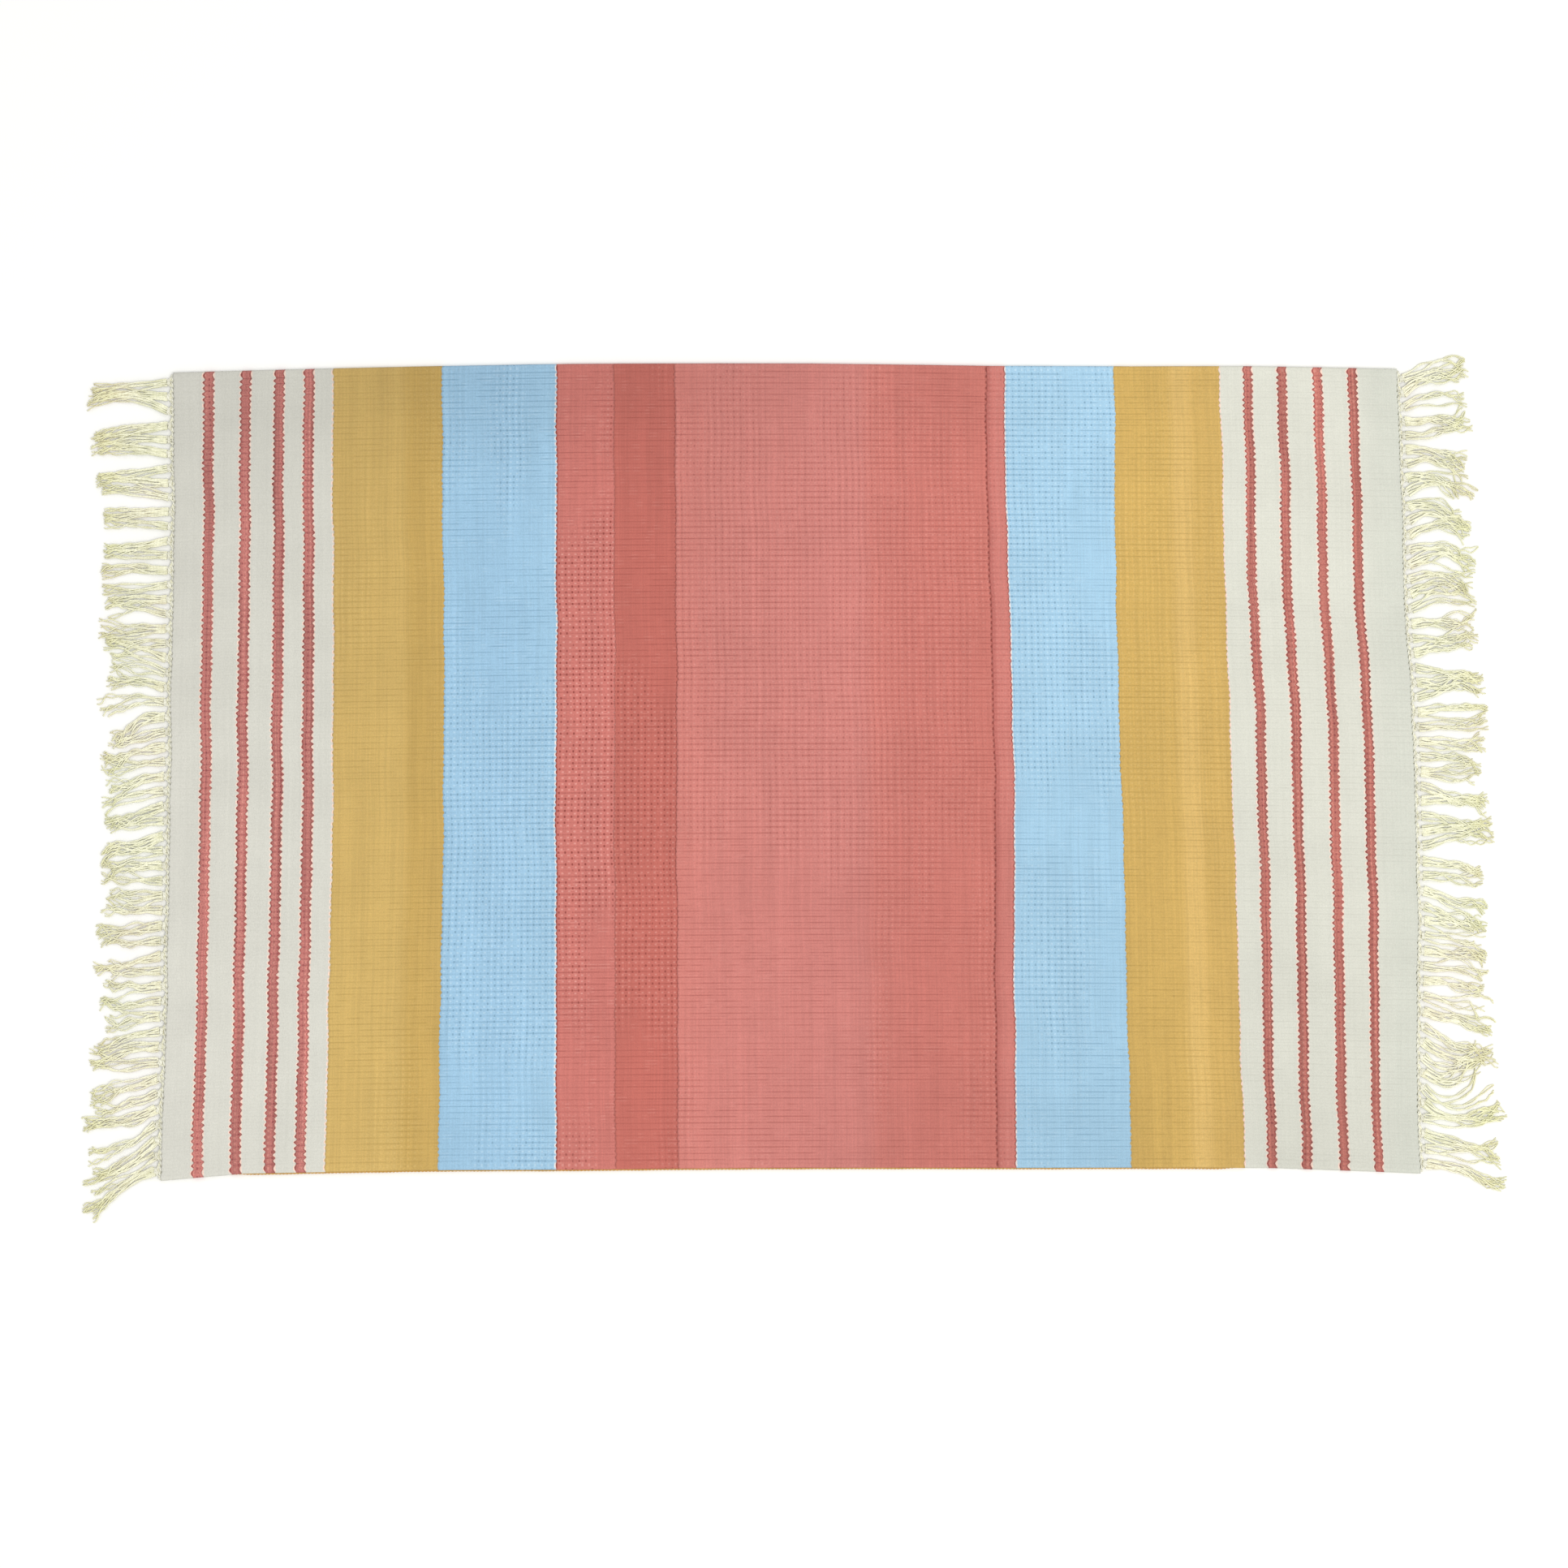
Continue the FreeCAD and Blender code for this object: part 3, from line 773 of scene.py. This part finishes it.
def tassel_paths(cloth, fringe, end):
    """Centre lines of all plies of one end's tassels, in metres: (ply, ring, 3).

    With s from 0 at the knot to 1 at the tip, a tassel's direction turns from the one at its knot
    to that of its tip, as the soft step of s / 0.85. Sideways a yarn adds the tassel's lean into
    its cluster * (1 - (1 - s)^1.6), its own slot across the bundle, waves that grow with s, and
    a flick of the tip that grows with the square of s past 0.72. Its height falls from the knot's
    middle to the floor, plus a step for each yarn that it crosses. Two plies wind round each yarn,
    and drift apart on some of them.
    """
    chance = np.random.default_rng(fringe.seed + end)
    knots, _, owner, slot = knot_rows()
    count = len(owner)
    # How unruly each tassel is: the right end is, and the left one has a tidy back third.
    wild = np.ones(TASSEL_COUNT) if end > 0 else 0.3 + 0.6 * smooth((165 - knots) / 120)
    each = wild[owner][:, None]
    s = np.linspace(0, 1, 24)[None]
    # Tassels lie in clusters of one to three, which lean together.
    sizes = chance.choice([1, 2, 2, 3], TASSEL_COUNT)
    sizes[0] = 3
    cluster = np.repeat(np.arange(TASSEL_COUNT), sizes)[:TASSEL_COUNT][::-1]
    middle = np.bincount(cluster, knots) / np.maximum(np.bincount(cluster), 1)
    middle[0] = HALF_WIDTH - 4
    pull = chance.uniform(0.2, 0.6, TASSEL_COUNT)
    lean = pull * (middle[cluster] - knots) + chance.normal(0, 1, TASSEL_COUNT) * (0.7 + wild)
    drift = chance.normal(0, 1, TASSEL_COUNT) * (1.5 + 2 * wild)
    place, leaving, arriving = np.array(COMBING[end], float).T
    leaving = np.interp(knots, place, leaving) + drift + chance.normal(0, 3.0, TASSEL_COUNT)
    unsure = chance.normal(0, 1, TASSEL_COUNT) * (2 + 4 * wild)
    arriving = np.interp(knots, place, arriving) + drift + unsure
    longest = 54.0 if end > 0 else 50.0
    length = longest - 10.5 * chance.uniform(0, 1, TASSEL_COUNT) * (0.45 + 0.55 * wild)
    # The tassels near a corner are longer.
    far = smooth((np.abs(knots) - 170) / 100)
    length = length + np.where(knots > 0, 2 if end > 0 else 10, 9) * far
    inwards = (0.1 + 0.8 * each) * chance.uniform(0, 1, (count, 1))
    slot = slot[:, None] * (1 - inwards * smooth(s / 0.6))
    slot = slot + chance.normal(0, 0.12, (count, 1)) * (1 + 2 * each) * smooth(s / 0.4)
    half = 2.7 + 1.1 * each + (2.3 - 1.1 * each) * smooth((s - 0.05) / 0.6)
    grow = s ** 0.8
    amplitude = chance.uniform(0.2, 1, (count, 1)) * (0.9 + 2.2 * each)
    rate = chance.uniform(0.7, 2.0, (count, 1)) * (0.8 + 0.4 * each)
    waves = amplitude * np.sin(2 * np.pi * (rate * s + chance.uniform(0, 1, (count, 1)))) * grow
    together = (chance.uniform(0.2, 1, TASSEL_COUNT) * (0.6 + wild))[owner][:, None]
    phase = chance.uniform(0, 1, TASSEL_COUNT)[owner][:, None]
    waves = waves + together * np.sin(2 * np.pi * (1.1 * s + phase)) * grow
    kink = chance.uniform(0, 1, (count, 1)) * (0.2 + 0.8 * each) * smooth((s - 0.55) / 0.35)
    waves = waves + kink * np.sin(2 * np.pi * (5.5 * s + chance.uniform(0, 1, (count, 1))))
    stray = np.where(chance.uniform(0, 1, (count, 1)) < 0.08 + 0.16 * each, 1.0, 0.0)
    stray = stray * chance.uniform(-9, 9, (count, 1)) * smooth((s - 0.15) / 0.7)
    flick = chance.normal(0, 1, (count, 1)) * (0.8 + 2.4 * each)
    flick = flick * np.clip((s - 0.72) / 0.28, 0, 1) ** 2
    shorter = np.abs(chance.normal(0, 1, count)) * (1 + 2.2 * wild[owner])
    reach = (length[owner] - shorter)[:, None]
    lateral = lean[owner][:, None] * (1 - (1 - s) ** 1.6) + slot * half + waves + stray + flick
    turned = leaving[owner][:, None] + (arriving - leaving)[owner][:, None] * smooth(s / 0.85)
    heading = np.radians(turned)
    step = reach / (s.shape[1] - 1)
    forward = np.cumsum(np.cos(heading) * step, axis=1) - np.cos(heading[:, :1]) * step
    sideways = np.cumsum(np.sin(heading) * step, axis=1) - np.sin(heading[:, :1]) * step
    u = end * (KNOT_PLACE + 1.4 + forward - np.sin(heading) * lateral)
    v = knots[owner][:, None] + sideways + np.cos(heading) * lateral
    ply = fringe.strand / 2
    layer = chance.permuted(np.tile([0, 1, 2, 0, 1], count // 5 + 1)[:count])[:, None]
    falling = (KNOT_HEIGHT - 2 * ply) * np.clip(1 - s / 0.3, 0, 1) ** 2
    z = 2 * ply + 0.1 + falling + layer * 0.8 * ply * np.sin(np.pi * np.clip(s * 1.1, 0, 1))
    centre = laid(cloth, u, v, z)
    apart = chance.choice([0.0, 0.4, 1.4, 2.6], (count, 1)) * (0.5 + 0.5 * each)
    part = ply * (0.9 + apart * smooth((s - 0.25) / 0.6) + 1.2 * np.clip((s - 0.86) / 0.14, 0, 1))
    pitch, start = chance.uniform(14, 34, (count, 1)), chance.uniform(0, 1, (count, 1))
    paths = plied(centre, part * MM, pitch * MM, 2, start, 0.5)
    paths[..., 2] = np.maximum(paths[..., 2], ply * 1.02 * MM)
    return paths


class RUG_OT_tassels(bpy.types.Operator):
    """Make the tassels of both ends, the loose warp ends past the knots"""
    bl_idname = "rug.tassels"
    bl_label = "Tassels"

    def execute(self, context):
        cloth, fringe = context.scene.rug_cloth, context.scene.rug_fringe
        dyes = context.scene.rug_dyes
        # The olive and tan second colours are painted shade: in the twist, on the flanks and on a
        # random share of the yarns.
        cotton = twisted_yarn(
            "cotton_tassel", dyes.warp, linear("#9da04f"), 2.4, 0.08, 0.3, tuple(dyes.tip), 0.75,
            linear("#a78d5b"),
        )
        for name, end in (("left", -1), ("right", 1)):
            paths = tassel_paths(cloth, fringe, end)
            # A ply thins to three quarters of itself at its cut end.
            radius = fringe.strand / 2 * MM * np.linspace(1, 0.75, paths.shape[1])[None] ** 0.5
            node = f"{name}_fringe_tassels"
            made = yarns(node + "_loose", paths, radius, cotton, chance=41 + end)
            attach(made, node)
        return {"FINISHED"}


# ---- weft ------------------------------------------------------------------------------------

def common_edge(cloth, place, v, striped):
    """How far the edge between two wefts strays along the rug: a tooth for each yarn + a wander.

    The tooth is -tooth * cos(2 pi v / rib pitch), and 2.2 times as deep on the stripes.
    """
    teeth = -cloth.tooth * (2.2 if striped else 1) * np.cos(2 * np.pi * v / cloth.rib_pitch)
    uneven = 0.7 + 0.5 * wander(v, [31, 19, 13], int(place * 10) % 9973)
    return teeth * uneven + 0.35 * wander(v, [83, 41, 23, 11], int(place * 10) % 9973 + 1)


def band_corners(along, wide):
    """Where a band's face corners lie in the UV square: the faces round it, then its ends' faces.

    The top and the underside fill half the square each. The faces along the long edges take slim
    strips between the halves, and those of the two ends strips beside the second half. along and
    wide are the rows' shares of the band's length and the columns' of its width.
    """
    margin, length = 0.005, 0.99
    around = 2 * len(wide)
    there_and_back = np.concatenate([wide, wide[::-1]])
    i, j = np.meshgrid(np.arange(len(along) - 1), np.arange(around), indexing="ij")
    uv = np.zeros((len(along) - 1, around, 4, 2))
    for corner, (di, dj) in enumerate(((0, 0), (1, 0), (1, 1), (0, 1))):
        share = along[i + di]
        uv[..., corner, 0] = np.where(j >= len(wide), 0.515, margin) + 0.478 * share
        uv[..., corner, 1] = margin + length * there_and_back[(j + dj) % around]
        for edge_column, low in ((len(wide) - 1, 0.487), (around - 1, 0.497)):
            at_edge = j == edge_column
            uv[..., corner, 0] = np.where(at_edge, low + 0.008 * dj, uv[..., corner, 0])
            uv[..., corner, 1] = np.where(at_edge, margin + length * share, uv[..., corner, 1])
    ends = np.zeros((2, len(wide) - 1, 4, 2))
    for corner, (di, dj) in enumerate(((0, 0), (0, 1), (1, 1), (1, 0))):
        for k, step in ((0, dj), (1, 1 - dj)):
            ends[k, :, corner, 0] = 0.9955 + 0.0022 * k + 0.0016 * di
            ends[k, :, corner, 1] = margin + length * wide[np.arange(len(wide) - 1) + step]
    return np.concatenate([uv.reshape(-1, 2), ends.reshape(-1, 2)])


def band_mesh(cloth, start, end, striped, bead_light_shade_shares, relief):
    """A stretch of weft as a closed surface: points, faces, corner places and the weave vector.

    Its two parameters are u along the rug and the way round the section, over the top and back
    below. The half thickness is that of the cloth, less the main groove's depth between two warp
    pairs and the second groove's between the yarns of a pair, each times relief and uneven along
    its rib. At the long edges it shrinks, and the outermost rib reaches over the edge cord. The
    weave vector is (u, v, share of the painted bead colour at the band's ends).
    """
    ribs = round(2 * HALF_WIDTH / cloth.rib_pitch)
    per_rib = 6
    v = (np.arange(ribs * per_rib + 1) / per_rib - ribs / 2) * cloth.rib_pitch
    # Bands under 25 mm lie where the cloth folds or is striped, and have rows twice as close.
    row_step = cloth.row_step / (2 if end - start < 25 else 1)
    rim_width = 1.3
    row_count = math.ceil((end - start - 2 * rim_width) / row_step) + 1
    u = np.concatenate([[start], np.linspace(start + rim_width, end - rim_width, row_count), [end]])
    stray = np.zeros((len(u), len(v)))
    for place, beside_stripe in ((start, striped[0]), (end, striped[1])):
        fading = np.exp(-np.abs(u - place) / 1.6)
        stray += fading[:, None] * common_edge(cloth, place, v, beside_stripe)
    yarn = np.arange(len(v)) // 3
    column = np.arange(len(v)) % per_rib
    chance = np.random.default_rng(77)
    phase = chance.uniform(0, 2 * np.pi, (3, len(v) // 3 + 1))
    waves = sum(
        np.sin(2 * np.pi * u[:, None] / w + phase[k][yarn]) for k, w in enumerate([37, 23, 71])
    )
    depth = 0.8 + 0.13 * waves
    groove = np.where(column == 3, cloth.second_groove, 0.0)
    groove = np.where(column == 0, cloth.main_groove, groove)
    shoulder = np.where((column == 1) | (column == per_rib - 1), 0.10, 0.0)
    half = THICKNESS / 2 - relief * (depth * groove + shoulder)
    closing = smooth((HALF_WIDTH - np.abs(v) + 0.4) / 2.6)
    half = half * (0.55 + 0.45 * closing)
    where = u[:, None] + stray
    over = np.sign(v) * 2.0 * smooth((np.abs(v) - HALF_WIDTH + 5) / 5)
    across = np.broadcast_to(v + over, where.shape)
    top = laid(cloth, where, across, THICKNESS / 2 + half)
    under = laid(cloth, where, across, THICKNESS / 2 - half)
    points = np.concatenate([top, under[:, ::-1]], axis=1)
    rows, around = points.shape[:2]
    index = np.arange(rows * around).reshape(rows, around)
    ahead = np.roll(index, -1, axis=1)
    quads = np.stack([index[:-1], index[1:], ahead[1:], ahead[:-1]], -1).reshape(-1, 4)
    tops, unders = index[:, :len(v)], index[:, :len(v) - 1:-1]
    first = np.stack([tops[0, :-1], tops[0, 1:], unders[0, 1:], unders[0, :-1]], -1)
    last = np.stack([tops[-1, 1:], tops[-1, :-1], unders[-1, :-1], unders[-1, 1:]], -1)
    # The weave vector's last part tells the material where the beads at a band's ends take their
    # painted colour, a highlight on some bands and a shade on others.
    bead_light_shade = np.zeros(rows)
    bead_light_shade[0], bead_light_shade[-1] = bead_light_shade_shares
    weave_v = np.concatenate([v, v[::-1]])
    weave = np.stack(np.broadcast_arrays(u[:, None], weave_v, bead_light_shade[:, None]), -1).reshape(-1, 3)
    uv = band_corners((u - start) / (end - start), (v + HALF_WIDTH) / (2 * HALF_WIDTH))
    return points.reshape(-1, 3), [quads, np.concatenate([first, last])], uv, weave


def painted_light_of(weave):
    """How light each point is against its dye: painted light, brighter towards one long edge by a
    slope that changes along the rug.

    1 - slope * v / half width, times 1 - the painted edge shade, which grows towards the long
    edges. The slope and the edge shade are drawn from lines through a few places along the rug.
    """
    places = [-455, -345, -300, -250, -190, -120, -45, 0, 60, 120, 190, 240, 280, 340, 410, 455]
    light_slopes = [0.05, 0.038, 0.07, 0.0, 0.004, 0.03, 0.045, 0.0,
              -0.07, -0.05, -0.086, -0.09, -0.02, -0.08, -0.062, -0.03]
    u, v = weave[:, 0], weave[:, 1]
    # Painted shade that darkens the cloth towards its long edges.
    edge_shade = np.interp(u, [-455, -215, -20, 130, 165, 455], [0.05, 0.14, 0.05, 0.09, 0.01, 0.02])
    edge_shade = edge_shade * smooth((v - 190) / 90) + 0.03 * smooth((-v - 230) / 40)
    return (1 - np.interp(u, places, light_slopes) * v / HALF_WIDTH) * (1 - edge_shade)


# The lots of the middle field by the last word of their node: the dye, then how the painted shade
# of the lines and ticks and the painted highlight of the crests of its ribs show, and where its
# picks lie loosely.
RED_LOTS = {
    "light": ("light_red", dict(lot=9, groove=0.45, tick_shade=0.95, crest_highlight=0.5, slack=(-10, 170))),
    "dark": ("deep_red", dict(lot=10, groove=0.42, tick_shade=0.85, crest_highlight=0.3, slack=(-70, 110))),
    "rose": ("rose_red", dict(lot=11, groove=0.42, tick_shade=0.45, crest_highlight=0.22, slack=(100, 150))),
    "edge": ("edge_red", dict(lot=12, groove=0.3, tick_shade=0.3, crest_highlight=0.15, slack=(100, 150))),
}


def weft_finish(dyes, node):
    """The material of a band: its slot in the record and what its yarn lot looks like."""
    left = node.startswith("left")
    # shade is the colour of the painted shade in the grooves, light that of the painted highlight
    # on the crests, and the bead colour a painted highlight on cream, mustard and blue and a
    # painted shade on the stripes and reds.
    flat = [(-455, (1, 1, 1)), (455, (1, 1, 1))]
    if "cream" in node:
        stops = flat if left else [(320, (1, 1, 1)), (418, (1, 1, 1)), (440, (0.95, 0.97, 0.97))]
        return "undyed_cream_weft", dict(
            colour=dyes.cream_left if left else dyes.cream_right, shade=linear("#b3b2a6"),
            light=linear("#f3efe6"), bead_light_shade=linear("#ffdccb"), lot=1 + left, stops=stops,
            groove=0.08 if left else 0.2, tick_shade=0.0, crest_highlight=0.10, streak=0.012, slack=(0, 0),
        )
    if "stripe" in node:
        return "rose_stripe_weft", dict(
            colour=dyes.rose_left if left else dyes.rose_right, shade=linear("#94484a"),
            light=linear("#dc9a8c"), bead_light_shade=linear("#a35650"), lot=3 + left, stops=flat,
            groove=0.55, tick_shade=0.8, crest_highlight=0.55, streak=0.14, slack=(0, 300),
        )
    if "mustard" in node:
        stops = [(-338, (1, 1, 1)), (-288, (1, 1, 1)), (-281, (0.92, 0.89, 0.80)),
                 (-258, (0.94, 0.91, 0.83))]
        if not left:
            stops = [(240, (0.97, 0.97, 0.95)), (282, (0.99, 0.99, 0.99)),
                     (287, (1.10, 1.12, 1.28)), (297, (1.10, 1.12, 1.28)),
                     (301, (0.99, 0.99, 1.03)), (321, (0.98, 0.98, 1.02))]
        return "mustard_weft", dict(
            colour=dyes.mustard_left if left else dyes.mustard_right, shade=linear("#8f7436"),
            light=linear("#ecd08c"), bead_light_shade=linear("#cdb478"), lot=5 + left, stops=stops,
            groove=0.32, tick_shade=0.2, crest_highlight=0.2, streak=0.035, slack=(0, 0) if left else (110, 110),
        )
    if "blue" in node:
        fading = [(-257, (0.985, 0.995, 1)), (-212, (0.99, 1, 1.01)), (-172, (1.045, 1.04, 1.03))]
        return "sky_blue_weft", dict(
            colour=dyes.blue_left if left else dyes.blue_right, shade=linear("#5f86a3"),
            light=linear("#d3e8f4"), bead_light_shade=linear("#f8e9e2"), lot=7 + left,
            stops=fading if left else flat, groove=0.42, tick_shade=0.6, crest_highlight=0.36, streak=0.028,
            slack=(-80, 120) if left else (130, 140),
        )
    part = node.rsplit("_", 1)[1]
    red, ribs = RED_LOTS[part]
    stops = flat
    if part == "rose":
        stops = [(-84, (1.035, 0.99, 0.965)), (-50, (0.99, 0.985, 0.98)), (20, (0.995, 0.995, 1)),
                 (52, (1, 1, 1)), (60, (0.98, 0.912, 0.88)), (90, (0.956, 0.857, 0.818)),
                 (145, (0.957, 0.852, 0.80))]
    if part == "edge":
        stops = [(145, (0.95, 0.90, 0.90)), (147.4, (0.85, 0.78, 0.78)), (150, (1, 1, 1)),
                 (159, (1, 1, 1))]
    return red + "_weft", dict(
        colour=getattr(dyes, red), shade=linear("#92433c"), light=linear("#eeb0a6"),
        bead_light_shade=linear("#9c4b43"), stops=stops, streak=0.035, **ribs,
    )


# How much of the painted bead colour, a highlight on some bands and a shade on others, shows
# at a band's left and right edge.
BEAD_LIGHT_SHADE = {
    "cream": (1.0, 0.8), "stripe": (0.8, 0.8), "mustard": (0.3, 0.2), "left_blue": (0.1, 1.0),
    "right_blue": (0.7, 0.1), "red_band_light": (1.0, 0.15), "red_band_dark": (0.15, 0.3),
    "red_band_rose": (0.15, 0.3), "red_band_edge": (0.6, 0.5),
}

# How deep the ribs of a band are, against the settings: finer weft packs more smoothly.
RELIEF = {"cream": 0.35, "stripe": 0.9, "mustard": 0.6, "blue": 0.7, "red": 0.8}


class RUG_OT_weft_bands(bpy.types.Operator):
    bl_idname = "rug.weft_bands"
    bl_label = "Weft bands"

    def execute(self, context):
        cloth, dyes = context.scene.rug_cloth, context.scene.rug_dyes
        finishes, made = {}, {}
        for node in BANDS:
            low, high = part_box(node)
            start, end = low.x / MM, high.x / MM
            slot, look = weft_finish(dyes, node)
            key = (slot, look["lot"])
            if key not in finishes:
                finishes[key] = woven_weft(f"{slot}_woven_lot_{look['lot']}", **look)
            beside = [BANDS[max(BANDS.index(node) - 1, 0)], node,
                      BANDS[min(BANDS.index(node) + 1, len(BANDS) - 1)]]
            striped = ["stripe" in name for name in beside]
            bead_light_shade_shares = list(next(bead_light_shade for part, bead_light_shade in BEAD_LIGHT_SHADE.items() if part in node))
            if node == BANDS[0]:
                bead_light_shade_shares[0] = 0.0
            if node == BANDS[-1]:
                bead_light_shade_shares[1] = 0.0
            points, faces, uv, weave = band_mesh(
                cloth, start, end, (striped[0] or striped[1], striped[1] or striped[2]), bead_light_shade_shares,
                next(depth for part, depth in RELIEF.items() if part in node),
            )
            # The tone attribute is painted light and painted shade over the band.
            attributes = {"weave": weave, "tone": painted_light_of(weave)}
            band = piece(node + "_weft", points, faces, uv, attributes, finishes[key])
            made[node] = attach(band, node)
        self.declare(made)
        return {"FINISHED"}

    def declare(self, made):
        """Lists for each band but the stripes what belongs with it, and does nothing more with the
        lists.

        A stripe goes with the cream band outside it. The other yarns of a panel go with its widest
        band.
        """
        for node in [n for n in BANDS if "stripe" not in n]:
            body = BODY_OF[node]
            beyond = BANDS.index(node) + (1 if node.startswith("left") else -1)
            along = [made[BANDS[beyond]]] if "cream" in node and "stripe" in BANDS[beyond] else []
            widest = max((n for n in BANDS if BODY_OF[n] == body),
                         key=lambda n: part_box(n)[1].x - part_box(n)[0].x)
            if node == widest:
                bodies = {body, body.replace("border", "fringe")}
                along += [
                    yarn for yarn in bpy.data.objects
                    if "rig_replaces" in yarn and yarn not in made.values()
                    and BODY_OF[yarn["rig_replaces"][0]] in bodies
                ]


# ---- stage -----------------------------------------------------------------------------------

class RUG_OT_stage(bpy.types.Operator):
    """Make the floor, the even light, the soft lamp and the camera"""
    bl_idname = "rug.stage"
    bl_label = "Stage"

    def execute(self, context):
        stage, scene = context.scene.rug_stage, context.scene
        # The floor is 8 m square, and a hair below the rug so that no two faces coincide.
        corners = np.array([[-4, -4, 0], [4, -4, 0], [4, 4, 0], [-4, 4, 0]]) - [0, 0, 0.0002]
        floor = piece("floor", corners, [np.array([[0, 1, 2, 3]])], corners[:, :2] / 8 + 0.5, {},
                      painted_floor("matt_white_floor_paint"))
        scene.world = bpy.data.worlds.new("even_white_light")
        scene.world.use_nodes = True
        background = scene.world.node_tree.nodes["Background"]
        background.inputs[0].default_value = (1, 1, 1, 1)
        background.inputs[1].default_value = stage.sky
        lamp = bpy.data.lights.new("soft_lamp", "AREA")
        lamp.size, lamp.energy = 1.6, stage.lamp
        lamp.color = (1.0, 0.985, 0.96)
        lamp_object = bpy.data.objects.new("soft_lamp", lamp)
        lamp_object.location = (0.9, -1.0, 2.9)
        lamp_object.rotation_euler = (-lamp_object.location).to_track_quat("-Z", "Y").to_euler()
        scene.collection.objects.link(lamp_object)
        camera = bpy.data.cameras.new("camera")
        camera.lens, camera.sensor_width = stage.lens, 36
        camera.clip_start, camera.clip_end = 0.05, 50
        camera_object = bpy.data.objects.new("camera", camera)
        # It looks at a place on the floor close to the rug's middle, from in front and high up.
        target = Vector((-0.006, -0.0146, 0))
        back = Vector((0, -math.cos(stage.elevation), math.sin(stage.elevation)))
        camera_object.location = target + back * stage.distance
        camera_object.rotation_euler = (-back).to_track_quat("-Z", "Y").to_euler()
        scene.collection.objects.link(camera_object)
        scene.camera = camera_object
        scene.view_settings.view_transform = "Standard"
        return {"FINISHED"}


class RUG_PT_panel(bpy.types.Panel):
    """Lists the rug's steps and settings"""
    bl_label = "Runner rug"
    bl_idname = "RUG_PT_panel"
    bl_space_type = "VIEW_3D"
    bl_region_type = "UI"
    bl_category = "Rug"

    def draw(self, context):
        for step in STEPS:
            self.layout.operator(step.bl_idname)
        for name in SETTINGS:
            group = getattr(context.scene, name)
            for key in group.__annotations__:
                self.layout.prop(group, key)


STEPS = (
    RUG_OT_stage, RUG_OT_warp_yarns, RUG_OT_edge_cords, RUG_OT_headings, RUG_OT_knots,
    RUG_OT_tassels, RUG_OT_weft_bands,
)
SETTINGS = {
    "rug_cloth": RugClothSettings, "rug_fringe": RugFringeSettings, "rug_dyes": RugDyeSettings,
    "rug_stage": RugStageSettings,
}


def register():
    """Registers the classes and adds the settings to the scene."""
    for made in (*SETTINGS.values(), *STEPS, RUG_PT_panel):
        bpy.utils.register_class(made)
    for name, group in SETTINGS.items():
        setattr(bpy.types.Scene, name, PointerProperty(type=group))


def unregister():
    """Takes the settings and the classes out again."""
    for name in SETTINGS:
        delattr(bpy.types.Scene, name)
    for made in reversed((*SETTINGS.values(), *STEPS, RUG_PT_panel)):
        bpy.utils.unregister_class(made)


def main():
    register()
    for step in STEPS:
        group, name = step.bl_idname.split(".")
        getattr(getattr(bpy.ops, group), name)()


if __name__ == "__main__":
    main()
